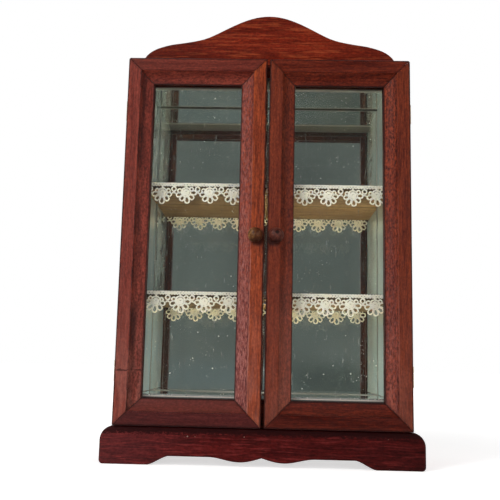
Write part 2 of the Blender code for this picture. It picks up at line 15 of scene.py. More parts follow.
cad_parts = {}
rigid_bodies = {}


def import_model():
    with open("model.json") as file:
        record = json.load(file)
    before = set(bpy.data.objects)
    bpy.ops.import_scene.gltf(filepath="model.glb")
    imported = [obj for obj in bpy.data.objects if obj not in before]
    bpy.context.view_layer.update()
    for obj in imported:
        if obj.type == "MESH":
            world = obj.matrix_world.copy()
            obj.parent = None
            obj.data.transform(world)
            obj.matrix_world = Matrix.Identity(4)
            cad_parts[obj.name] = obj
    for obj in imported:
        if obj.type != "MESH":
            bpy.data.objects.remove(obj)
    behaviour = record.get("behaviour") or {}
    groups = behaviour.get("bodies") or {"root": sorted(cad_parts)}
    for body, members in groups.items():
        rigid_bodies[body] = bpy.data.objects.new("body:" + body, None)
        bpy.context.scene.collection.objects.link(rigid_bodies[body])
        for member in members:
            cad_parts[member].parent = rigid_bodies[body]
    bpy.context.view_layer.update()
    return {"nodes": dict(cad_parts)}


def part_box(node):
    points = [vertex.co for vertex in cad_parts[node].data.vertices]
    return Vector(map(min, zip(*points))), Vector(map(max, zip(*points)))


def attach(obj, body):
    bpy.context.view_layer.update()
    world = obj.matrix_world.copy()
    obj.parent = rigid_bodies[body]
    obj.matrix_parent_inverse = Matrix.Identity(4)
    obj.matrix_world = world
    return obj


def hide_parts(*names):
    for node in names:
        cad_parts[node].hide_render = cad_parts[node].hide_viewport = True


MM = 0.001
SIDES = ("left", "right")
X_AXIS, Y_AXIS, Z_AXIS = 0, 1, 2

for leftover in list(bpy.data.objects):
    bpy.data.objects.remove(leftover)

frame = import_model()
nodes = frame["nodes"]


# Colours and shader helpers


def screen(red, green, blue):
    """A colour as a screen shows it, 0 to 255, as the linear colour that shaders take."""
    linear = []
    for value in (red, green, blue):
        share = value / 255
        if share <= 0.04045:
            linear.append(share / 12.92)
        else:
            linear.append(((share + 0.055) / 1.055) ** 2.4)
    return (*linear, 1.0)


class Paint:
    """A material or world under construction, with short calls for the nodes it needs."""

    # Most values of a noise lie between these two
    NOISE_LOW, NOISE_HIGH = 0.3, 0.7
    # How far each seed moves a pattern along X, Y and Z
    SEED_STEPS = (37.31, 91.17, 53.77)
    # A mix node's sockets for colours: factor, first, second and result
    MIX_INPUTS = (0, 6, 7)
    MIX_OUTPUT = 2

    def __init__(self, name, store=bpy.data.materials):
        self.owner = store.new(name)
        self.owner.use_nodes = True
        self.tree = self.owner.node_tree
        self.tree.nodes.clear()
        self.coordinates = None

    def put(self, socket, value):
        """Links a socket to another one, or sets its value."""
        if isinstance(value, bpy.types.NodeSocket):
            self.tree.links.new(value, socket)
        else:
            socket.default_value = value

    def node(self, kind, inputs=None, **settings):
        """Adds a node. Its inputs are given by name or number."""
        made = self.tree.nodes.new("ShaderNode" + kind)
        for name, value in settings.items():
            setattr(made, name, value)
        for name, value in (inputs or {}).items():
            self.put(made.inputs[name], value)
        return made

    def math(self, operation, *values):
        return self.node("Math", dict(enumerate(values)), operation=operation).outputs[0]

    def fold(self, operation, values):
        """One operation over several values."""
        result = values[0]
        for value in values[1:]:
            result = self.math(operation, result, value)
        return result

    def plus(self, *values):
        return self.fold("ADD", values)

    def times(self, *values):
        return self.fold("MULTIPLY", values)

    def most(self, *values):
        return self.fold("MAXIMUM", values)

    def place(self):
        """The point on the piece, in metres, as the case stands at rest."""
        if self.coordinates is None:
            self.coordinates = self.node("TexCoord").outputs["Object"]
        return self.coordinates

    def axes(self):
        """The point's three coordinates in millimetres."""
        scaled = self.node("Mapping", {"Vector": self.place(), "Scale": [1 / MM] * 3})
        return self.node("SeparateXYZ", {"Vector": scaled.outputs[0]}).outputs

    def stretched(self, along, stretch, seed):
        """Coordinates in millimetres, drawn out along one axis, for a grain."""
        scale = [1 / MM] * 3
        scale[along] /= stretch
        shift = [seed * step for step in self.SEED_STEPS]
        mapping = self.node("Mapping", {"Vector": self.place(), "Scale": scale, "Location": shift})
        return mapping.outputs[0]

    def noise(self, scale, detail=2.0, roughness=0.5, distortion=0.0, place=None):
        place = self.place() if place is None else place
        inputs = {"Vector": place, "Scale": scale, "Detail": detail}
        inputs |= {"Roughness": roughness, "Distortion": distortion}
        return self.node("TexNoise", inputs).outputs["Fac"]

    def ramp(self, factor, *stops):
        """A colour from a factor, by stops of (position, colour)."""
        made = self.node("ValToRGB", {"Fac": factor})
        elements = made.color_ramp.elements
        while len(elements) < len(stops):
            elements.new(0.5)
        for element, (position, colour) in zip(elements, stops):
            element.position = position
            element.color = colour
        return made.outputs["Color"]

    def tinted(self, noise, first, second):
        """A colour that changes with a noise from one to another."""
        return self.ramp(noise, (self.NOISE_LOW, first), (self.NOISE_HIGH, second))

    def span(self, value, low, high, to_low=0.0, to_high=1.0):
        """A value carried smoothly from one range to another and held at its ends."""
        inputs = {"Value": value, "From Min": low, "From Max": high, "To Min": to_low, "To Max": to_high}
        return self.node("MapRange", inputs, interpolation_type="SMOOTHSTEP").outputs[0]

    def spread(self, noise, to_low, to_high):
        """A noise carried to another range."""
        return self.span(noise, self.NOISE_LOW, self.NOISE_HIGH, to_low, to_high)

    def fade(self, value, start, end, strength=1.0):
        """A strength that fades to nothing while a value goes from start to end."""
        return self.span(value, start, end, strength, 0.0)

    def away(self, value, middle):
        return self.math("ABSOLUTE", self.math("SUBTRACT", value, middle))

    def band(self, value, middle, half_width, soft):
        """1 where a value is within half_width of middle, fading out over soft."""
        return self.fade(self.away(value, middle), half_width, half_width + soft)

    def squared_distance(self, first, first_middle, second, second_middle):
        aside = self.math("POWER", self.math("SUBTRACT", first, first_middle), 2.0)
        above = self.math("POWER", self.math("SUBTRACT", second, second_middle), 2.0)
        return self.plus(aside, above)

    def mix(self, factor, first, second):
        inputs = dict(zip(self.MIX_INPUTS, (factor, first, second)))
        return self.node("Mix", inputs, data_type="RGBA").outputs[self.MIX_OUTPUT]

    def shaded(self, colour, factor):
        """A colour made darker or lighter by a factor."""
        return self.node("VectorMath", {0: colour, "Scale": factor}, operation="SCALE").outputs["Vector"]

    def specks(self, scale, low, high, size, seed):
        """1 on small round specks, which gather where a slow noise runs from low to high."""
        shift = self.stretched(X_AXIS, 1.0, seed)
        cells = self.node("TexVoronoi", {"Vector": shift, "Scale": scale}, feature="F1")
        patches = self.noise(scale=110.0, detail=1.0)
        reach = self.span(patches, low, high, 0.0, size)
        return self.math("LESS_THAN", cells.outputs["Distance"], reach)

    def bump(self, height, distance, strength):
        inputs = {"Height": height, "Distance": distance, "Strength": strength}
        return self.node("Bump", inputs).outputs["Normal"]

    def principled(self, **inputs):
        named = {name.replace("_", " "): value for name, value in inputs.items()}
        return self.node("BsdfPrincipled", named).outputs[0]

    def done(self, shader, output="OutputMaterial"):
        self.node(output, {"Surface": shader})
        return self.owner


def dress(node, material):
    """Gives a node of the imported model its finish."""
    mesh = nodes[node].data
    for index in range(len(mesh.materials)):
        mesh.materials[index] = material


# Wood

DARKEST_BROWN = screen(26, 8, 7)
SHEEN_PINK = screen(164, 108, 96)
LIT_COVE_PURPLE = screen(80, 32, 37)
CHALKY_SHEEN = screen(158, 101, 94)
UPTURNED_COVE_LIGHT = screen(128, 66, 52)
PLINTH_SHEEN = screen(102, 54, 55)
PLINTH_LINES = screen(118, 42, 40)
PLINTH_GRIME_AND_SHADOW = screen(32, 6, 6)
LINT = screen(196, 172, 156)
PEDIMENT_LINES = screen(158, 72, 38)
SHELF_FRONT_SHADE = screen(58, 46, 28)
SHELF_BACK_SHADE = screen(50, 40, 26)

# Widths across a door's frame and heights above the ground, in millimetres

FRAME_WIDTH = 15.3
FLAT_WIDTH = 7.7
PALE_LINE_INSET = 1.5
CRACK_HEIGHT = 52.1
SHEEN_FADE = (30.0, 120.0)
COVE_FADE = (50.0, 190.0)
COVE_SHEEN_FADE = (50.0, 130.0)

# Strengths of painted sheen, flecks, painted shadow along the quirks, and darkening on the backs

SHEEN_STRENGTH = {"left": 0.3, "right": 0.15}
COVE_SHEEN = {"left": 0.0, "right": 0.15}
FLAT_FLECKS = 0.18
COVE_FLECKS = {"worn_and_lit": 0.8, "shadowed": 0.5, "plain": 0.5}
QUIRK_SHADOW = 0.3
STILE_BACK_DARKENING = 0.76
RAIL_BACK_DARKENING = 0.85


class Tone:
    """A stained wood's middle colour, with its dark and light streaks."""

    # Both as shares of the middle colour
    DARK = (0.49, 0.39, 0.39)
    LIGHT = (1.53, 1.76, 1.69)

    def __init__(self, red, green, blue, contrast=1.0):
        self.middle = screen(red, green, blue)
        self.dark = self.varied(self.DARK, contrast)
        self.light = self.varied(self.LIGHT, contrast)

    def varied(self, factors, contrast):
        pairs = zip(self.middle, factors)
        return (*[value * (1 + (factor - 1) * contrast) for value, factor in pairs], 1.0)


CARCASS_TONE = Tone(94, 32, 20)
BEAD_TONE = Tone(58, 22, 15)
PEDIMENT_TONE = Tone(103, 27, 9, 0.75)
PLINTH_TONE = Tone(67, 11, 10)
SHELF_TONE = Tone(150, 119, 83, 0.6)
BACK_TONE = Tone(166, 124, 82, 0.45)

# Each member's stain, how its cove is painted (lit, in shade, or facing up and lighter), and how strongly low
# down and high up

DOOR_STAINS_AND_LIGHT = {
    "left": {
        "hinge_stile": (Tone(113, 45, 34, 0.6), "shadowed", 0.8, 0.8),
        "meeting_stile": (Tone(122, 48, 20), "worn_and_lit", 0.78, 0.33),
        "bottom_rail": (Tone(71, 23, 21, 0.6), "plain", 0.2, 0.2),
        "top_rail": (Tone(100, 38, 27, 0.65), "shadowed", 0.3, 0.3),
    },
    "right": {
        "hinge_stile": (Tone(97, 35, 15, 0.9), "worn_and_lit", 0.24, 0.04),
        "meeting_stile": (Tone(95, 34, 15, 0.65), "shadowed", 0.25, 0.45),
        "bottom_rail": (Tone(74, 19, 7), "plain", 0.08, 0.08),
        "top_rail": (Tone(86, 26, 10, 0.9), "shadowed", 0.32, 0.32),
    },
}


class Wood(Paint):
    """Stained and varnished mahogany, with its grain along one axis."""

    SLOW_SHARE = 0.26
    FIBRE_SHARE = 0.48
    PORE_DARKNESS = 0.45
    PORE_DEPTH = 0.3
    FLECK_RISE = 0.35
    BUMP_STRENGTH = 0.6

    def __init__(self, name, along, seed, tone):
        super().__init__(name)
        self.along = along
        self.seed = seed
        self.tone = tone
        figure = self.grain(0, stretch=10.0, scale=0.09, detail=3.0, roughness=0.55, distortion=0.8)
        self.streaks = self.grain(3, stretch=20.0, scale=0.42, detail=3.0, roughness=0.6, distortion=0.25)
        fibres = self.grain(5, stretch=13.0, scale=1.3, detail=3.0, roughness=0.7)
        flecks = self.grain(9, stretch=2.5, scale=1.5, roughness=0.6)
        pores = self.grain(7, stretch=6.0, scale=1.4, roughness=0.6)
        slow = self.times(self.plus(figure, self.streaks), self.SLOW_SHARE)
        blend = self.math("MULTIPLY_ADD", fibres, self.FIBRE_SHARE, slow)
        colour = self.ramp(blend, (0.41, tone.dark), (0.5, tone.middle), (0.59, tone.light))
        colour = self.shaded(colour, self.spread(flecks, 0.8, 1.2))
        open_pores = self.span(pores, 0.6, 0.7)
        self.colour = self.mix(self.times(open_pores, self.PORE_DARKNESS), colour, tone.dark)
        rise = self.math("MULTIPLY_ADD", flecks, self.FLECK_RISE, fibres)
        self.height = self.math("MULTIPLY_ADD", open_pores, -self.PORE_DEPTH, rise)

    def grain(self, shift, stretch, scale, detail=2.0, roughness=0.5, distortion=0.0):
        """Noise drawn out along the grain. Each shift gives another pattern."""
        place = self.stretched(self.along, stretch, self.seed + shift)
        return self.noise(scale, detail, roughness, distortion, place)

    def uneven(self, shift, low):
        """A slow change along the grain, from low to 1."""
        return self.span(self.grain(shift, stretch=5.0, scale=0.22, roughness=0.6), 0.36, 0.62, low, 1.0)

    def stain(self, colour, *factors):
        """Covers the wood with a colour, by the product of some factors."""
        self.colour = self.mix(self.times(*factors), self.colour, colour)

    def fine_lines(self, strength, colour):
        """Thin pale lines along the grain."""
        lines = self.grain(31, stretch=14.0, scale=0.8, roughness=0.7)
        self.stain(colour, self.span(lines, 0.5, 0.7, 0.0, strength))

    def granular(self, strength):
        """Short dark and light flecks."""
        flecks = self.grain(25, stretch=1.7, scale=0.85, detail=3.0, roughness=0.75)
        shade = self.math("MULTIPLY_ADD", self.spread(flecks, -1.0, 1.0), strength, 1.0)
        self.colour = self.shaded(self.colour, shade)

    def edge_shade_and_end_grain(self, strength):
        """Darker wood wherever the surface turns away from the front and back: painted shade on the edges,
        and darker end grain.
        """
        normal = self.node("NewGeometry").outputs["Normal"]
        facing = self.math("ABSOLUTE", self.node("SeparateXYZ", {"Vector": normal}).outputs[Y_AXIS])
        self.stain(self.tone.dark, self.fade(facing, 0.45, 0.9, strength))

    def varnish(self, roughness=0.4, specular=0.12, relief=0.35):
        """The finished material, with its relief in millimetres."""
        shader = self.principled(
            Base_Color=self.colour,
            Roughness=self.spread(self.streaks, roughness - 0.07, roughness + 0.1),
            Normal=self.bump(self.height, relief * MM, self.BUMP_STRENGTH),
            Specular_IOR_Level=specular,
        )
        return self.done(shader)


def door_corners(side):
    boxes = [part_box(f"{side}_door_{member}") for member in DOOR_STAINS_AND_LIGHT[side]]
    low = [min(box[0][axis] for box in boxes) for axis in range(3)]
    high = [max(box[1][axis] for box in boxes) for axis in range(3)]
    return low, high


def knob_centre(side):
    low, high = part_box(f"{side}_door_knob")
    return Vector(((low.x + high.x) / 2, door_corners(side)[0][Y_AXIS], (low.z + high.z) / 2))


def from_ends(wood, value, low, high):
    """The distance in millimetres to the nearer of two ends, which are in metres."""
    return wood.math("SUBTRACT", (high - low) / 2 / MM, wood.away(value, (low + high) / 2 / MM))


def cove_light_and_shade(wood, kind, strength, pale_marks, inset, loose_inset):
    """Paints light and shade on a door member's cove, with flecks, and gives how strongly the quirk along it
    is painted in shadow.
    """

    def line(offset, half_width=0.1, soft=0.4):
        return wood.band(loose_inset, FLAT_WIDTH + offset, half_width, soft)

    into_cove = wood.span(inset, FLAT_WIDTH, FLAT_WIDTH + 0.4)
    wood.granular(wood.span(into_cove, 0.0, 1.0, FLAT_FLECKS, COVE_FLECKS[kind]))
    # A cove that faces the key light: a purple tint of painted sheen, chalky pink flecks of wear and painted
    # sheen, a painted pink highlight along the quirk, and a thin painted shadow line inside it.
    if kind == "worn_and_lit":
        wood.stain(LIT_COVE_PURPLE, into_cove, strength)
        flecks = wood.grain(21, stretch=5.5, scale=1.6, detail=4.0, roughness=0.8)
        flecks = wood.span(flecks, 0.4, 0.68, 0.0, 1.5)
        wood.stain(CHALKY_SHEEN, wood.span(inset, FLAT_WIDTH - 0.3, FLAT_WIDTH + 1.2), flecks, strength)
        wood.stain(SHEEN_PINK, line(0.1), wood.uneven(19, 0.0), strength)
        return wood.times(line(0.8), QUIRK_SHADOW)
    # A cove that faces away from the light or down: painted shade deep in the hollow and along the quirk, and
    # on the right door a painted pink sheen low down.
    if kind == "shadowed":
        wood.stain(SHEEN_PINK, into_cove, pale_marks)
        hollow = wood.times(into_cove, wood.span(inset, FLAT_WIDTH + 1.5, FLAT_WIDTH + 5.0, 1.0, 0.35))
        cove_shade = wood.most(line(0.2, half_width=0.15, soft=0.5), hollow)
        return wood.times(cove_shade, strength, wood.uneven(19, 0.5))
    # A cove that faces up: painted lighter, with a painted shadow line along the quirk.
    wood.stain(UPTURNED_COVE_LIGHT, into_cove, strength)
    return wood.times(line(0.2), QUIRK_SHADOW)


def door_wood(side, member, seed):
    """A member of a door's frame: dark mitres, painted shade on the arrises and along the sight edge, a pale
    line of wear and painted highlight near the outer edge, and painted light and shade on its cove.
    """
    upright = member.endswith("stile")
    tone, kind, low_down, high_up = DOOR_STAINS_AND_LIGHT[side][member]
    wood = Wood(f"{side}_door_{member}_wood", Z_AXIS if upright else X_AXIS, seed, tone)
    low, high = door_corners(side)
    x, y, z = wood.axes()
    from_side = from_ends(wood, x, low[X_AXIS], high[X_AXIS])
    from_end = from_ends(wood, z, low[Z_AXIS], high[Z_AXIS])
    inset = wood.math("MINIMUM", from_side, from_end)
    wander = wood.noise(scale=240.0)
    loose_inset = wood.plus(inset, wood.spread(wander, -0.25, 0.25))
    # Painted pink sheen on the stiles, strongest low down and on the left door.
    if upright:
        film = wood.fade(z, *SHEEN_FADE, SHEEN_STRENGTH[side])
        wood.stain(SHEEN_PINK, film, wood.uneven(15, 0.3))
    # A pale line near the outer edge: wear, and a painted highlight where the edge catches the light.
    worn_and_lit = wood.times(wood.uneven(17, 0.1), 0.35)
    wood.stain(tone.light, wood.band(loose_inset, PALE_LINE_INSET, 0.2, 0.6), worn_and_lit)
    strength = wood.span(z, *COVE_FADE, low_down, high_up)
    # How strongly a shaded cove gets a painted pink sheen low down.
    pale_marks = wood.fade(z, *COVE_SHEEN_FADE, COVE_SHEEN[side])
    quirk = cove_light_and_shade(wood, kind, strength, pale_marks, inset, loose_inset)
    apart = wood.away(from_side, from_end)
    depth = wood.span(inset, FLAT_WIDTH, FLAT_WIDTH + 1.5, 0.42, 0.95)
    mitre = wood.times(wood.fade(apart, 0.12, 0.5), depth)
    halo = wood.fade(apart, 0.3, 2.4, 0.22)
    # Painted shade along the sight edge, where the pane meets the frame.
    sight_shade = wood.span(inset, FRAME_WIDTH - 1.0, FRAME_WIDTH - 0.4, 0.0, 0.8)
    bottom = low[Z_AXIS] / MM
    foot = wood.fade(z, bottom + 0.2, bottom + 2.4, 0.5)
    # Painted shade on the outer arrises.
    arris_shade = wood.fade(loose_inset, 0.5, 1.2, 0.7)
    # The darkening gathered here: dark mitre joints, a darker foot, and painted shade at the sight edge,
    # along the quirk and on the arrises.
    darkening = wood.most(mitre, halo, sight_shade, foot, quirk, arris_shade)
    if member == "meeting_stile":
        knob = knob_centre(side)
        # Painted shadow below and between the knobs, with finger grime, and painted shade along the meeting
        # edge at the gap.
        from_knob = wood.squared_distance(x, 0.8 * knob.x / MM, z, knob.z / MM - 0.5)
        darkening = wood.most(darkening, wood.fade(from_knob, 13.0, 36.0, 0.8), wood.fade(from_side, 0.3, 0.9, 0.8))
    if (side, member) == ("left", "hinge_stile"):
        loose_height = wood.plus(z, wood.spread(wander, -0.5, 0.5))
        darkening = wood.most(darkening, wood.times(wood.band(loose_height, CRACK_HEIGHT, 0.15, 0.45), 0.7))
    # Darker on the back faces of the members.
    back = high[Y_AXIS] / MM
    back_darkening = STILE_BACK_DARKENING if upright else RAIL_BACK_DARKENING
    wood.stain(DARKEST_BROWN, wood.most(darkening, wood.span(y, back - 0.6, back - 0.2, 0.0, back_darkening)))
    return wood.varnish()


def plinth_wood(seed):
    """Dark wood with painted light, paler at its left end and darker at its right, a painted pink sheen at
    the left end, and black grime and painted shadow with lint under the doors.
    """
    wood = Wood("plinth_wood", X_AXIS, seed, PLINTH_TONE)
    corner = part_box("plinth")[1]
    top = corner.z / MM
    reach = corner.x / MM
    x, _, z = wood.axes()
    # Painted light: lighter at the left end, darker at the right.
    wood.colour = wood.shaded(wood.colour, wood.span(x, -reach, reach, 1.12, 0.66))
    # Painted pink sheen at the left end.
    wood.stain(PLINTH_SHEEN, wood.fade(x, -reach, -0.2 * reach, 0.3))
    wood.fine_lines(wood.span(x, -reach, reach, 0.75, 0.3), PLINTH_LINES)
    wood.granular(0.25)
    ragged = wood.grain(0, stretch=1.6, scale=1.1, detail=3.0, roughness=0.75)
    loose = wood.plus(z, wood.span(ragged, 0.25, 0.75, -1.6, 1.6))
    # Black grime and painted shadow under the overhanging doors.
    wood.stain(PLINTH_GRIME_AND_SHADOW, wood.span(loose, top - 4.4, top - 3.2, 0.0, 0.85))
    lint = wood.specks(0.3, low=0.5, high=0.7, size=0.16, seed=4)
    wood.stain(LINT, lint, wood.band(z, top - 4.4, 0.6, 0.6), 0.4)
    # Painted shade on the edges, and darker end grain.
    wood.edge_shade_and_end_grain(0.6)
    return wood.varnish(roughness=0.45, specular=0.06)


def plain_wood(name, along, seed, tone, roughness=0.4, specular=0.12):
    return Wood(name, along, seed, tone).varnish(roughness, specular)


def pediment_wood(seed):
    """Streaked wood, darker towards its ends, with painted shade on its edge."""
    wood = Wood("pediment_wood", X_AXIS, seed, PEDIMENT_TONE)
    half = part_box("pediment")[1].x / MM
    from_middle = wood.away(wood.axes()[X_AXIS], 0.0)
    wood.fine_lines(0.5, PEDIMENT_LINES)
    wood.colour = wood.shaded(wood.colour, wood.span(from_middle, 0.25 * half, half, 0.93, 0.64))
    wood.granular(0.2)
    wood.edge_shade_and_end_grain(0.75)
    return wood.varnish(roughness=0.42, specular=0.08)


def shelf_wood(shelf, seed):
    """Bare pale wood with painted light, darker at its left and lighter at its right, and painted shade on
    its front and back edges.
    """
    wood = Wood(shelf + "_wood", X_AXIS, seed, SHELF_TONE)
    low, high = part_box(shelf)
    front = low.y / MM
    back = high.y / MM
    reach = high.x / MM
    x, y, _ = wood.axes()
    # Painted light: darker at the left, lighter at the right.
    wood.colour = wood.shaded(wood.colour, wood.span(x, -reach, reach, 0.8, 1.16))
    # Painted shade on the front edge, behind the lace.
    wood.stain(SHELF_FRONT_SHADE, wood.fade(y, front + 0.1, front + 1.0, 0.85))
    # Painted shade along the back edge, where the shelf meets the back mirror.
    wood.stain(SHELF_BACK_SHADE, wood.span(y, back - 1.2, back - 0.3, 0.0, 0.6))
    return wood.varnish(roughness=0.65, specular=0.1)


def finish_wood():
    for number, side in enumerate(SIDES):
        for step, member in enumerate(DOOR_STAINS_AND_LIGHT[side]):
            dress(f"{side}_door_{member}", door_wood(side, member, 1 + step + 10 * number))
        upright = plain_wood(f"{side}_upright_bead_wood", Z_AXIS, 31 + number, BEAD_TONE)
        level = plain_wood(f"{side}_level_bead_wood", X_AXIS, 33 + number, BEAD_TONE)
        for bead, material in (("hinge", upright), ("meeting", upright), ("bottom", level), ("top", level)):
            dress(f"{side}_door_{bead}_bead", material)
        dress(f"{side}_side", plain_wood(f"{side}_side_wood", Z_AXIS, 41 + number, CARCASS_TONE))
    dress("top_board", plain_wood("top_board_wood", X_AXIS, 43, CARCASS_TONE))
    dress("bottom_board", plain_wood("bottom_board_wood", X_AXIS, 44, CARCASS_TONE))
    dress("pediment", pediment_wood(45))
    dress("plinth", plinth_wood(46))
    dress("back_panel", plain_wood("back_panel_wood", Z_AXIS, 47, BACK_TONE, roughness=0.7, specular=0.1))
    dress("lower_shelf", shelf_wood("lower_shelf", 48))
    dress("upper_shelf", shelf_wood("upper_shelf", 49))


# Mirrors and glass

SIDE_HAZE = 0.9
FLAT_HAZE = 0.012
LEVELS = ("upper", "middle", "lower")
# Film colours of the upper, middle and lower side walls, each lighter or darker by level and side as painted
# light and shade.
SHADED_SIDE_FILMS = {
    "left": (screen(118, 132, 137), screen(126, 141, 147), screen(150, 169, 182)),
    "right": (screen(138, 153, 156), screen(184, 199, 196), screen(168, 186, 191)),
}
FLAT_FILM = screen(168, 188, 193)
FLOOR_FILM = screen(214, 190, 180)
MIRROR_DARK = screen(24, 27, 24)
DUST = screen(214, 216, 207)
DARK_SILVER = (0.90, 0.90, 0.85, 1.0)
LIGHT_SILVER = (0.96, 0.96, 0.91, 1.0)
END_BAND_STRENGTH = 0.22
PANE_TINT = (0.985, 0.995, 0.99, 1.0)
PANE_SHINE = 0.04


class Silver(Paint):
    """Silvered glass under a film of dust, with cloudy patches and white specks."""

    def __init__(self, mirror, haze=FLAT_HAZE, film=FLAT_FILM):
        super().__init__(mirror + "_silver")
        self.mirror = mirror
        self.film_colour = film
        self.cloud = self.noise(scale=45.0, detail=3.0, roughness=0.6)
        dusty = self.noise(scale=1000.0, detail=3.0, roughness=0.8)
        wiped = self.noise(scale=0.8, roughness=0.7, place=self.stretched(Z_AXIS, 9.0, 6))
        dusty = self.span(dusty, 0.57, 0.72, 0.0, 0.24)
        wiped = self.span(wiped, 0.62, 0.74, 0.0, 0.28)
        self.film = self.spread(self.cloud, haze * 0.8, haze * 1.2)
        self.film = self.plus(self.film, self.plus(dusty, wiped))
        self.darkening = 0.0
        self.dull = 0.0

    def cloudy(self, band, strength):
        """More film on a band."""
        self.film = self.math("MINIMUM", self.math("MULTIPLY_ADD", band, strength, self.film), 1.0)

    def darkened(self, band):
        """Darker on a band."""
        self.darkening = self.most(band, self.darkening)

    def finish(self):
        silver = self.tinted(self.cloud, DARK_SILVER, LIGHT_SILVER)
        fine = self.specks(0.5, low=0.3, high=0.75, size=0.11, seed=2)
        coarse = self.specks(0.24, low=0.4, high=0.7, size=0.1, seed=5)
        pale_marks = self.most(fine, coarse)
        colour = self.mix(self.film, silver, self.film_colour)
        colour = self.mix(pale_marks, colour, DUST)
        colour = self.mix(self.darkening, colour, MIRROR_DARK)
        smear = self.plus(self.spread(self.cloud, 0.015, 0.035), self.dull)
        shader = self.principled(
            Base_Color=colour,
            Metallic=self.math("SUBTRACT", 1.0, self.most(pale_marks, self.film, self.darkening)),
            Roughness=self.math("MULTIPLY_ADD", pale_marks, 0.5, smear),
            Specular_IOR_Level=self.fade(self.darkening, 0.0, 0.5, 0.5),
        )
        dress(self.mirror, self.done(shader))


def side_mirror(node, film):
    """A side wall: hazy, with paler bands at both ends and a darker back corner."""
    paint = Silver(node, SIDE_HAZE, film)
    low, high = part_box(node)
    front = low.y / MM
    back = high.y / MM
    y = paint.axes()[Y_AXIS]
    paint.cloudy(paint.fade(y, front + 7.0, front + 9.0), END_BAND_STRENGTH)
    paint.cloudy(paint.span(y, back - 9.0, back - 7.0), END_BAND_STRENGTH)
    paint.darkened(paint.span(y, back - 0.8, back - 0.2, 0.0, 0.6))
    paint.finish()


def back_mirror():
    """The back wall, darker where it meets the sides, ceiling and floor."""
    paint = Silver("back_mirror")
    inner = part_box("right_lower_mirror")[0].x / MM
    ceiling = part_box("ceiling_mirror")[0].z / MM
    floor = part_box("floor_mirror")[1].z / MM
    x, _, z = paint.axes()
    paint.darkened(paint.span(paint.away(x, 0.0), inner - 0.9, inner - 0.3, 0.0, 0.7))
    paint.darkened(paint.span(z, ceiling - 1.2, ceiling - 0.7, 0.0, 0.97))
    paint.darkened(paint.fade(z, floor + 0.2, floor + 0.8, 0.6))
    paint.finish()


def ceiling_mirror():
    """The ceiling, dull towards the doors."""
    paint = Silver("ceiling_mirror")
    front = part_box("ceiling_mirror")[0].y / MM
    dim = paint.fade(paint.axes()[Y_AXIS], front + 13.0, front + 20.0)
    paint.dull = paint.times(dim, 0.35)
    paint.darkened(paint.times(dim, 0.87))
    paint.finish()


def floor_mirror():
    """The floor, whose cut front edge is grey, with a pale line low down and darker below it."""
    paint = Silver("floor_mirror", film=FLOOR_FILM)
    low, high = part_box("floor_mirror")
    front = low.y / MM
    top = high.z / MM
    _, y, z = paint.axes()
    edge = paint.fade(y, front + 0.1, front + 0.3)
    line = paint.band(z, top - 1.15, 0.15, 0.2)
    paint.cloudy(paint.times(edge, paint.span(line, 0.0, 1.0, 0.25, 0.8)), 1.0)
    paint.darkened(paint.times(edge, paint.fade(z, top - 1.8, top - 1.4, 0.9)))
    paint.finish()


def clear_glass(name):
    """Thin window glass: clear, with a shine that grows towards grazing views, and faint smears."""
    paint = Paint(name)
    smear = paint.noise(scale=60.0, detail=4.0, roughness=0.6)
    clear = paint.node("BsdfTransparent", {"Color": PANE_TINT}).outputs[0]
    shine = paint.node("BsdfGlossy", {"Roughness": paint.span(smear, 0.4, 0.8, 0.0, 0.05)}).outputs[0]
    facing = paint.node("LayerWeight", {"Blend": 0.5}).outputs["Facing"]
    grazing = paint.math("POWER", facing, 5.0)
    share = paint.math("MULTIPLY_ADD", grazing, 1.0 - PANE_SHINE, PANE_SHINE)
    return paint.done(paint.node("MixShader", {0: share, 1: clear, 2: shine}).outputs[0])


def finish_glass():
    back_mirror()
    ceiling_mirror()
    floor_mirror()
    pane = clear_glass("door_glass")
    for side in SIDES:
        dress(f"{side}_door_glass", pane)
        for level, film in zip(LEVELS, SHADED_SIDE_FILMS[side]):
            side_mirror(f"{side}_{level}_mirror", film)


# Metal fittings


def metal(name, bright, dull, roughness):
    """Metal with tarnished patches and fine scratches."""
    paint = Paint(name)
    tarnish = paint.noise(scale=420.0, detail=4.0, roughness=0.65)
    scratch = paint.noise(scale=5.0, place=paint.stretched(Z_AXIS, 12.0, 3))
    colour = paint.ramp(tarnish, (0.35, dull), (0.65, bright))
    gloss = paint.spread(tarnish, roughness + 0.18, roughness)
    bump = paint.bump(scratch, 0.03 * MM, 0.3)
    return paint.done(paint.principled(Base_Color=colour, Metallic=1.0, Roughness=gloss, Normal=bump))


BRASS = metal("aged_brass", screen(212, 170, 92), screen(128, 92, 46), 0.28)
STEEL = metal("plain_steel", screen(190, 190, 188), screen(118, 116, 112), 0.3)


def finish_metal():
    for name in nodes:
        if "_hinge_" in name and "_door_hinge_" not in name:
            dress(name, BRASS)
        if name.endswith(("_magnet", "_strike")):
            dress(name, STEEL)


# New pieces


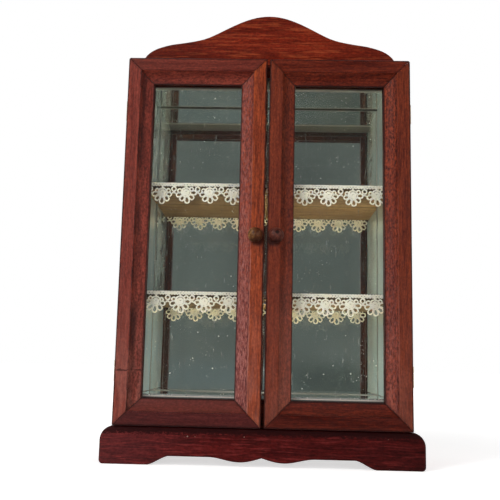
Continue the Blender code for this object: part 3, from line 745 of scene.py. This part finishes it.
class Solid:
    """Points and faces of a new piece, collected into one mesh."""

    def __init__(self):
        self.points = []
        self.faces = []

    def ring(self, points):
        first = len(self.points)
        self.points.extend(points)
        return list(range(first, len(self.points)))

    def join(self, first_ring, second_ring):
        """Faces between two closed rings of point numbers."""
        count = len(first_ring)
        for index in range(count):
            ahead = (index + 1) % count
            self.faces.append((first_ring[index], first_ring[ahead], second_ring[ahead], second_ring[index]))

    def tube(self, rings, closed=False):
        """Joins rings into a tube, which is capped unless it closes on itself."""
        for here, ahead in zip(rings, rings[1:]):
            self.join(here, ahead)
        if closed:
            self.join(rings[-1], rings[0])
        else:
            self.faces.append(tuple(reversed(rings[0])))
            self.faces.append(tuple(rings[-1]))

    def piece(self, name, material, body, slot, smooth=True):
        made = mesh_object(name, [tuple(point) for point in self.points], self.faces, material)
        for polygon in made.data.polygons:
            polygon.use_smooth = smooth
        made.data.validate()
        made.data.update()
        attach(made, body)
        return made


def link_object(name, data):
    made = bpy.data.objects.new(name, data)
    bpy.context.scene.collection.objects.link(made)
    return made


def mesh_object(name, points, faces, material):
    mesh = bpy.data.meshes.new(name)
    mesh.from_pydata(points, [], faces)
    mesh.materials.append(material)
    return link_object(name, mesh)


def lathe(solid, centre, facing, profile, segments):
    """Turns a profile of (radius, reach) about an axis along Y, towards the front for facing -1."""
    rings = []
    for radius, reach in profile:
        points = []
        for step in range(segments):
            angle = 2 * math.pi * step / segments
            x = centre.x + radius * math.cos(angle)
            z = centre.z - facing * radius * math.sin(angle)
            points.append((x, centre.y + facing * reach, z))
        rings.append(solid.ring(points))
    solid.tube(rings)


# Turned knobs

TENON_RADIUS = 1.5 * MM
TENON_DEPTH = 6.0 * MM
NECK_REACH = 0.3 * MM
NECK_RADIUS = 2.2 * MM
HEAD_RADIUS = 4.3 * MM
HEAD_MIDDLE = 5.3 * MM
HEAD_DEPTH = 3.7 * MM
HEAD_STEPS = 22
POLE_RADIUS = 0.05 * MM
KNOB_SEGMENTS = 48
KNOB_FINISHES = {"left": (61, Tone(76, 40, 20)), "right": (64, Tone(82, 40, 31))}
KNOB_GOLD = screen(150, 108, 62)
KNOB_PIT = screen(22, 10, 9)
PIT_ASIDE = 0.65
PIT_ABOVE = 1.2


def knob_profile():
    profile = [(TENON_RADIUS, -TENON_DEPTH), (TENON_RADIUS, NECK_REACH), (NECK_RADIUS, NECK_REACH)]
    start = math.asin(NECK_RADIUS / HEAD_RADIUS)
    end = math.pi - math.asin(POLE_RADIUS / HEAD_RADIUS)
    for step in range(HEAD_STEPS + 1):
        angle = start + (end - start) * step / HEAD_STEPS
        profile.append((HEAD_RADIUS * math.sin(angle), HEAD_MIDDLE - HEAD_DEPTH * math.cos(angle)))
    return profile


def knob_wood(side, centre):
    """End grain with a rubbed, golden left side on the left knob, a dark pit in the right one, and painted
    shade low on both.
    """
    wood = Wood(f"{side}_knob_wood", Y_AXIS, *KNOB_FINISHES[side])
    x, _, z = wood.axes()
    aside = wood.math("SUBTRACT", x, centre.x / MM)
    above = wood.math("SUBTRACT", z, centre.z / MM)
    mottle = wood.noise(scale=760.0, detail=4.0, roughness=0.75)
    if side == "left":
        wood.stain(KNOB_GOLD, wood.fade(aside, -3.6, 1.4), wood.span(mottle, 0.42, 0.6))
    else:
        from_pit = wood.squared_distance(aside, PIT_ASIDE, above, PIT_ABOVE)
        wood.stain(KNOB_PIT, wood.fade(from_pit, 0.5, 2.0, 0.9))
    wood.stain(wood.tone.dark, wood.span(mottle, 0.52, 0.7, 0.0, 0.4))
    # Painted shade on the lower part of the knob.
    wood.stain(DARKEST_BROWN, wood.fade(above, -4.2, -1.4, 0.75))
    return wood.varnish(roughness=0.38, specular=0.15, relief=0.12)


def make_knobs():
    for side in SIDES:
        centre = knob_centre(side)
        solid = Solid()
        lathe(solid, centre, -1, knob_profile(), KNOB_SEGMENTS)
        knob = solid.piece(f"{side}_turned_knob", knob_wood(side, centre), f"{side}_door", "dark_mahogany")
        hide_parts(f"{side}_door_knob")


# Screws in the hinges and pins in the back

SCREW_RADIUS = 1.0 * MM
SCREW_RISE = 0.14 * MM
SCREW_SINK = 0.1 * MM
SCREW_BEVEL = 0.15 * MM
SLOT_HALF_WIDTH = 0.13 * MM
SCREW_STEPS = 12
SCREW_INSET = 2.0 * MM
SCREW_SPREAD = 3.3 * MM
PIN_RADIUS = 0.8 * MM
PIN_RISE = 0.3 * MM
PIN_SEGMENTS = 14
PIN_STEPS = 5
PIN_INSET = 2.4 * MM
PIN_SPACING = 30.0 * MM


def screw_head(solid, centre, facing, turn):
    """A flat head in two halves with a slot between them, on a face that looks along Y."""
    profile = (
        (SCREW_RADIUS, -SCREW_SINK),
        (SCREW_RADIUS, SCREW_RISE - SCREW_BEVEL / 2),
        (SCREW_RADIUS - SCREW_BEVEL, SCREW_RISE),
    )
    for flip in (0.0, math.pi):
        rings = []
        for radius, rise in profile:
            start = math.asin(SLOT_HALF_WIDTH / radius)
            points = []
            for step in range(SCREW_STEPS + 1):
                angle = start + (math.pi - 2 * start) * step / SCREW_STEPS + flip
                along = radius * math.cos(angle)
                across = radius * math.sin(angle)
                x = centre.x + along * math.cos(turn) - across * math.sin(turn)
                z = centre.z - facing * (along * math.sin(turn) + across * math.cos(turn))
                points.append((x, centre.y + facing * rise, z))
            rings.append(solid.ring(points))
        solid.tube(rings)


def make_screws():
    chance = random.Random(5)
    case_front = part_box("left_side")[0].y
    for side in SIDES:
        door_back = door_corners(side)[1][Y_AXIS]
        for level in ("upper", "lower"):
            for leaf, body, facing in (("case_leaf", "cabinet", -1), ("door_leaf", f"{side}_door", 1)):
                node = f"{side}_{level}_hinge_{leaf}"
                low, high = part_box(node)
                x = high.x - SCREW_INSET if side == "left" else low.x + SCREW_INSET
                y = case_front if facing < 0 else door_back
                solid = Solid()
                for away in (-SCREW_SPREAD, SCREW_SPREAD):
                    centre = Vector((x, y, (low.z + high.z) / 2 + away))
                    screw_head(solid, centre, facing, chance.uniform(0.0, math.pi))
                solid.piece(node + "_screws", BRASS, body, "brass", smooth=False)


def make_pins():
    low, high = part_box("back_panel")
    left, right = low.x + PIN_INSET, high.x - PIN_INSET
    bottom, top = low.z + PIN_INSET, high.z - PIN_INSET
    across = round((right - left) / PIN_SPACING)
    along = round((top - bottom) / PIN_SPACING)
    places = []
    for step in range(across + 1):
        x = left + (right - left) * step / across
        places += [(x, bottom), (x, top)]
    for step in range(1, along):
        z = bottom + (top - bottom) * step / along
        places += [(left, z), (right, z)]
    profile = [(PIN_RADIUS, -PIN_RISE)]
    for step in range(PIN_STEPS):
        angle = math.pi / 2 * step / PIN_STEPS
        profile.append((PIN_RADIUS * math.cos(angle), PIN_RISE * math.sin(angle)))
    profile.append((POLE_RADIUS, PIN_RISE))
    solid = Solid()
    for x, z in places:
        lathe(solid, Vector((x, high.y, z)), 1, profile, PIN_SEGMENTS)
    solid.piece("back_panel_pins", STEEL, "cabinet", "steel")


# Lace

LACE_REPEAT = 14.4 * MM
THREAD = 0.43 * MM
THREAD_STEP = 0.3 * MM
THREAD_SIDES = 8
PLY_TWIST = 2.4 * MM
PLY_LOBE = 0.24
# Each band's level, the place of its first rosette and its seed
LACE_BANDS = (("upper", -63.4 * MM, 7), ("lower", -64.6 * MM, 11))
DARK_COTTON = screen(246, 236, 216)
LIGHT_COTTON = screen(252, 245, 231)


class Threads(Solid):
    """Twisted cotton threads."""

    def add(self, path, radius=THREAD, closed=False):
        """Sweeps a two-lobed, twisting section along a path that lies close to the XZ plane."""
        path = resample(np.array(path, float), THREAD_STEP, closed)
        count = len(path)
        if closed:
            tangents = np.roll(path, -1, 0) - np.roll(path, 1, 0)
        else:
            tangents = np.gradient(path, axis=0)
        tangents /= np.linalg.norm(tangents, axis=1)[:, None]
        depth = np.array([0.0, 1.0, 0.0])
        normals = depth - tangents * (tangents @ depth)[:, None]
        normals /= np.linalg.norm(normals, axis=1)[:, None]
        sideways = np.cross(tangents, normals)
        turns = max(1, round(count * THREAD_STEP / PLY_TWIST))
        twist = math.pi * turns * np.arange(count) / count
        rings = []
        for index in range(count):
            points = []
            for side in range(THREAD_SIDES):
                angle = 2 * math.pi * side / THREAD_SIDES
                reach = radius * (1 + PLY_LOBE * math.cos(2 * (angle - twist[index])))
                offset = normals[index] * math.cos(angle) + sideways[index] * math.sin(angle)
                points.append(path[index] + reach * offset)
            rings.append(self.ring(points))
        self.tube(rings, closed)


def resample(path, step, closed):
    """Points along a path at about even distances."""
    if closed:
        path = np.vstack([path, path[:1]])
    lengths = np.linalg.norm(np.diff(path, axis=0), axis=1)
    travelled = np.concatenate([[0.0], np.cumsum(lengths)])
    count = max(4, int(round(travelled[-1] / step)))
    targets = np.linspace(0.0, travelled[-1], count + 1)
    if closed:
        targets = targets[:-1]
    return np.stack([np.interp(targets, travelled, path[:, axis]) for axis in range(3)], axis=1)


def arc_points(count, shape):
    """Points of a curve that is given as a function of 0 to 1."""
    return [shape(index / (count - 1)) for index in range(count)]


class LaceBand:
    """Crochet edging: a braided header, thread rosettes with petal loops, and small rings between them."""

    # Each petal's direction in degrees and reach in millimetres
    PETALS = ((0.0, 7.15), (39.0, 6.8), (-39.0, 6.8), (78.0, 6.4), (-78.0, 6.4), (112.0, 5.3), (-112.0, 5.3))
    PETAL_HALF_ANGLE = math.radians(16.5)
    HEADER_MIDDLE = 1.3 * MM
    HEADER_SWING = 0.75 * MM
    HEADER_PERIOD = 3.4 * MM
    HEADER_DEPTH = 0.3 * MM
    HEADER_POINTS = 700
    PIP_SPACING = 2.1 * MM
    PIP_RADIUS = 0.4 * MM
    PIP_THREAD = 0.75 * THREAD
    PIP_POINTS = 12
    ROSETTE_DROP = 6.1 * MM
    ROSETTE_RADIUS = 2.8 * MM
    ROSETTE_REACH = 3.2 * MM
    RIM_THREAD = 1.05 * THREAD
    RIM_POINTS = 60
    COIL_TURNS = 2.6
    COIL_START = 0.35 * MM
    COIL_MARGIN = 1.0 * MM
    COIL_DOME = 0.4 * MM
    COIL_THREAD = 1.02 * THREAD
    COIL_POINTS = 90
    PETAL_POINTS = 40
    STEM_TOP = 1.9 * MM
    STEM_THREAD = 1.1 * THREAD
    KNOT_THREAD = 0.95 * THREAD
    KNOT_REACH = 1.5 * MM
    RING_DROP = 4.1 * MM
    RING_RADIUS = 1.3 * MM

    def __init__(self, low, high, first_rosette, seed):
        self.left, self.right = low.x, high.x
        self.top = high.z
        self.depth = (low.y + high.y) / 2
        self.first = first_rosette
        self.chance = random.Random(seed)
        self.threads = Threads()

    def at(self, x, drop, forward=0.0):
        return (x, self.depth - forward, self.top - drop)

    def circle(self, x, drop, radius, forward, thread, count=40):
        points = []
        for step in range(count):
            angle = 2 * math.pi * step / count
            points.append(self.at(x + radius * math.cos(angle), drop + radius * math.sin(angle), forward))
        self.threads.add(points, thread, closed=True)

    def header(self):
        """Two strands crossing in eyelets, with pips along the top."""
        span = self.right - self.left
        for side in (-1, 1):

            def point(share, side=side):
                phase = 2 * math.pi * share * span / self.HEADER_PERIOD
                drop = self.HEADER_MIDDLE + side * self.HEADER_SWING * math.sin(phase)
                return self.at(self.left + share * span, drop, side * self.HEADER_DEPTH * math.cos(phase))

            self.threads.add(arc_points(self.HEADER_POINTS, point))
        x = self.left + self.PIP_SPACING / 2
        while x + self.PIP_RADIUS + THREAD < self.right:
            drop = self.PIP_RADIUS + THREAD * 1.1 + self.chance.uniform(0.0, 0.25) * MM
            forward = self.chance.uniform(0.1, 0.4) * MM
            self.circle(x, drop, self.PIP_RADIUS, forward, self.PIP_THREAD, self.PIP_POINTS)
            x += self.PIP_SPACING * self.chance.uniform(0.85, 1.15)

    def rosette(self, x):
        """A coil of thread in a rim with petals round it, hung on a stem."""
        lean = math.radians(self.chance.uniform(-9, 9))
        grow = self.chance.uniform(0.96, 1.03)
        drop = self.ROSETTE_DROP + self.chance.uniform(-0.3, 0.4) * MM

        def coil(share):
            radius = self.COIL_START + (self.ROSETTE_RADIUS - self.COIL_MARGIN) * share
            angle = 2 * math.pi * self.COIL_TURNS * share
            dome = self.COIL_DOME * (1 - (radius / self.ROSETTE_RADIUS) ** 2)
            return self.at(x + radius * math.cos(angle), drop + radius * math.sin(angle), dome)

        self.threads.add(arc_points(self.COIL_POINTS, coil), self.COIL_THREAD)
        self.circle(x, drop, self.ROSETTE_RADIUS, 0.0, self.RIM_THREAD, self.RIM_POINTS)
        for degrees, reach in self.PETALS:
            reach *= grow * self.chance.uniform(0.94, 1.05)
            self.petal(x, drop, math.radians(degrees) + lean, reach * MM)
        stem = [self.at(x, self.STEM_TOP, 0.1 * MM), self.at(x, drop - self.ROSETTE_RADIUS, 0.1 * MM)]
        self.threads.add(stem, self.STEM_THREAD)

    def petal(self, x, drop, direction, reach):
        """A loop of thread from the rosette's rim out to reach and back."""
        foot = self.ROSETTE_RADIUS + 0.1 * MM
        tip = reach - THREAD

        def point(share):
            turn = math.pi * share
            swell = 1 + 0.12 * math.sin(turn)
            angle = direction - self.PETAL_HALF_ANGLE * swell * math.cos(turn)
            radius = foot + (tip - foot) * math.sin(turn) ** 0.75
            forward = 0.12 * MM * math.sin(turn)
            return self.at(x + radius * math.sin(angle), drop + radius * math.cos(angle), forward)

        self.threads.add(arc_points(self.PETAL_POINTS, point))

    def link(self, x):
        """The small ring and knot between two rosettes."""
        self.circle(x, self.RING_DROP, self.RING_RADIUS, 0.1 * MM, THREAD)
        stem = [self.at(x, self.STEM_TOP), self.at(x, self.RING_DROP - self.RING_RADIUS)]
        self.threads.add(stem, self.STEM_THREAD)
        knot = self.RING_DROP + self.RING_RADIUS + 0.75 * MM
        for reach in (-self.KNOT_REACH, self.KNOT_REACH):
            ends = [
                self.at(x - reach, knot + 0.9 * MM, 0.05 * MM),
                self.at(x, knot, 0.2 * MM),
                self.at(x + 0.2 * reach, knot - 0.8 * MM, 0.1 * MM),
            ]
            self.threads.add(ends, self.KNOT_THREAD)

    def build(self):
        self.header()
        margin = THREAD * 2
        x = self.first
        while x + self.ROSETTE_REACH < self.right:
            self.rosette(x + self.chance.uniform(-0.25, 0.25) * MM)
            x += LACE_REPEAT
        x = self.first - LACE_REPEAT / 2
        while x + self.RING_RADIUS + margin < self.right:
            if x - self.RING_RADIUS - margin > self.left:
                self.link(x)
            x += LACE_REPEAT
        return self.threads


def cotton(name):
    """Soft cream cotton that lets a little light through."""
    paint = Paint(name)
    shade = paint.noise(scale=300.0, detail=3.0, roughness=0.6)
    fuzz = paint.noise(scale=5200.0, roughness=0.7)
    shader = paint.principled(
        Base_Color=paint.tinted(shade, DARK_COTTON, LIGHT_COTTON),
        Roughness=0.9,
        Normal=paint.bump(fuzz, 0.08 * MM, 0.5),
        Sheen_Weight=0.2,
        Subsurface_Weight=0.55,
        Subsurface_Radius=(1.0, 0.85, 0.6),
        Subsurface_Scale=1.0 * MM,
    )
    return paint.done(shader)


def make_lace():
    material = cotton("lace_cotton")
    for level, first, seed in LACE_BANDS:
        low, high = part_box(f"{level}_lace")
        threads = LaceBand(low, high, first, seed).build()
        lace = threads.piece(f"{level}_lace_edging", material, "cabinet", "lace")
        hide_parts(f"{level}_lace")


# Camera, light and stage

CAMERA_PLACE = Vector((0.002326, -0.448622, 0.057844))
CAMERA_YAW = math.radians(1.52210)
CAMERA_PITCH = math.radians(8.62962)
CAMERA_ROLL = math.radians(-1.26525)
CLIP_START = 0.01
FOCAL_PIXELS = 738.868
IMAGE_PIXELS = 500
SENSOR_WIDTH = 36.0
CASE_MIDDLE = Vector((0.0, 0.0, 0.13))
AMBIENT = 0.25
WHITE = (1.0, 1.0, 1.0, 1.0)
FLOOR_DARK = (0.78, 0.78, 0.78, 1.0)
FLOOR_LIGHT = (0.81, 0.81, 0.81, 1.0)
FLOOR_RADIUS = 6.0
FLOOR_RINGS = 24
FLOOR_SPOKES = 64
CARD_DARK = screen(76, 83, 82)
CARD_LIGHT = screen(96, 104, 102)
CARD_ABOVE = screen(100, 105, 102)
CARD_LOW_LEFT = screen(90, 101, 103)
CARD_LOW_RIGHT = screen(68, 77, 76)
CARD_MIDDLE = screen(54, 46, 42)
CARD_WARM = screen(99, 94, 82)
CARD_BOUNCE = 62.0
CARD_RADIUS = 2.0
CARD_TURNS = 40
CARD_RISES = 16
CARD_GAP = 20.0 * MM


def make_camera():
    data = bpy.data.cameras.new("camera")
    data.sensor_width = SENSOR_WIDTH
    data.sensor_fit = "HORIZONTAL"
    data.lens = FOCAL_PIXELS / IMAGE_PIXELS * SENSOR_WIDTH
    data.clip_start = CLIP_START
    camera = link_object("camera", data)
    turn = Matrix.Rotation(CAMERA_YAW, 3, "Z")
    turn = turn @ Matrix.Rotation(CAMERA_PITCH, 3, "X") @ Matrix.Rotation(CAMERA_ROLL, 3, "Y")
    right, forward, up = turn.col
    basis = Matrix((right, up, -forward)).transposed()
    camera.matrix_world = Matrix.Translation(CAMERA_PLACE) @ basis.to_4x4()
    bpy.context.scene.camera = camera


def seen_directly(paint):
    """1 for rays from the camera, or by way of a mirror or glass."""
    path = paint.node("LightPath").outputs
    return paint.most(path["Is Camera Ray"], path["Is Glossy Ray"], path["Is Transmission Ray"])


def floor_material():
    """White towards its rim, so that it runs into the background."""
    paint = Paint("studio_floor")
    colour = paint.tinted(paint.noise(scale=9.0), FLOOR_DARK, FLOOR_LIGHT)
    diffuse = paint.node("BsdfDiffuse", {"Color": colour}).outputs[0]
    distance = paint.node("VectorMath", {0: paint.place()}, operation="LENGTH").outputs["Value"]
    lift = paint.span(distance, 0.15, 0.8, 0.6, 1.0)
    glow = paint.node("Emission", {"Strength": paint.times(seen_directly(paint), lift)}).outputs[0]
    return paint.done(paint.node("AddShader", {0: diffuse, 1: glow}).outputs[0])


def make_floor():
    solid = Solid()
    angles = [2 * math.pi * spoke / FLOOR_SPOKES for spoke in range(FLOOR_SPOKES)]
    rings = []
    for ring in range(1, FLOOR_RINGS + 1):
        radius = FLOOR_RADIUS * (ring / FLOOR_RINGS) ** 2
        circle = [(radius * math.cos(angle), radius * math.sin(angle), 0.0) for angle in angles]
        rings.append(solid.ring(circle))
    solid.faces.append(tuple(rings[0]))
    for inner, outer in zip(rings, rings[1:]):
        solid.join(outer, inner)
    mesh_object("floor", solid.points, solid.faces, floor_material())


def make_world():
    """A white background that gives only a little light of its own."""
    paint = Paint("studio", bpy.data.worlds)
    dim = paint.node("Background", {"Color": WHITE, "Strength": AMBIENT}).outputs[0]
    bright = paint.node("Background", {"Color": WHITE, "Strength": 1.0}).outputs[0]
    mixed = paint.node("MixShader", {0: seen_directly(paint), 1: dim, 2: bright})
    bpy.context.scene.world = paint.done(mixed.outputs[0], "OutputWorld")


def card_material():
    """Grey-green, with a part near the floor and a dark middle above it.

    Where mirrors throw its light onto dull surfaces, it is warm and much brighter.
    """
    paint = Paint("reflection_card")
    x, _, z = paint.node("SeparateXYZ", {"Vector": paint.place()}).outputs
    colour = paint.tinted(paint.noise(scale=2.2), CARD_DARK, CARD_LIGHT)
    colour = paint.mix(paint.span(z, 0.5, 1.5), colour, CARD_ABOVE)
    low_down = paint.mix(paint.span(x, -0.1, 0.15), CARD_LOW_LEFT, CARD_LOW_RIGHT)
    colour = paint.mix(paint.fade(z, 0.01, 0.1), colour, low_down)
    middle = paint.times(paint.band(x, -0.01, 0.05, 0.02), paint.span(z, 0.02, 0.1))
    colour = paint.mix(middle, colour, CARD_MIDDLE)
    bounced = paint.span(paint.node("LightPath").outputs["Diffuse Depth"], 0.0, 1.0)
    colour = paint.mix(bounced, colour, CARD_WARM)
    strength = paint.span(bounced, 0.0, 1.0, 1.0, CARD_BOUNCE)
    return paint.done(paint.node("Emission", {"Color": colour, "Strength": strength}).outputs[0])


def make_card():
    """A screen round, above and below the view from the front, which only mirrors, glass and varnish show."""
    angles = [math.pi * (1.0 + turn / CARD_TURNS) for turn in range(CARD_TURNS + 1)]
    points = []
    faces = []
    for rise in range(CARD_RISES + 1):
        climb = math.pi / 2 * rise / CARD_RISES
        flat = CARD_RADIUS * math.cos(climb)
        height = CARD_RADIUS * math.sin(climb) + MM
        points += [(flat * math.cos(angle), flat * math.sin(angle), height) for angle in angles]
    for rise in range(CARD_RISES):
        for turn in range(CARD_TURNS):
            corner = rise * (CARD_TURNS + 1) + turn
            faces.append((corner, corner + 1, corner + CARD_TURNS + 2, corner + CARD_TURNS + 1))
    first = len(points)
    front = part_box("plinth")[0].y - CARD_GAP
    for angle in angles:
        points.append((CARD_RADIUS * math.cos(angle), min(front, CARD_RADIUS * math.sin(angle)), MM))
    faces.append(tuple(range(first, len(points))))
    card = mesh_object("reflection_card", points, faces, card_material())
    for rays in ("camera", "diffuse", "transmission", "shadow"):
        setattr(card, "visible_" + rays, False)


def make_lamp(name, place, size, power):
    """A round soft lamp that looks at the middle of the case."""
    data = bpy.data.lights.new(name, "AREA")
    data.shape = "DISK"
    data.size = size
    data.energy = power
    lamp = link_object(name, data)
    lamp.location = place
    lamp.rotation_euler = (CASE_MIDDLE - Vector(place)).to_track_quat("-Z", "Y").to_euler()


def make_light():
    make_lamp("key_lamp", (-0.75, -0.85, 0.95), size=0.35, power=7.6)
    make_lamp("low_lamp", (-0.62, -1.3, 0.3), size=0.5, power=5.4)
    make_lamp("fill_lamp", (0.85, -1.15, 0.35), size=0.9, power=6.0)
    make_lamp("back_lamp", (0.6, 1.2, 0.7), size=0.9, power=5.0)


bpy.context.scene.view_settings.view_transform = "Standard"
make_camera()
finish_wood()
finish_glass()
finish_metal()
make_knobs()
make_screws()
make_pins()
make_lace()
make_floor()
make_world()
make_card()
make_light()
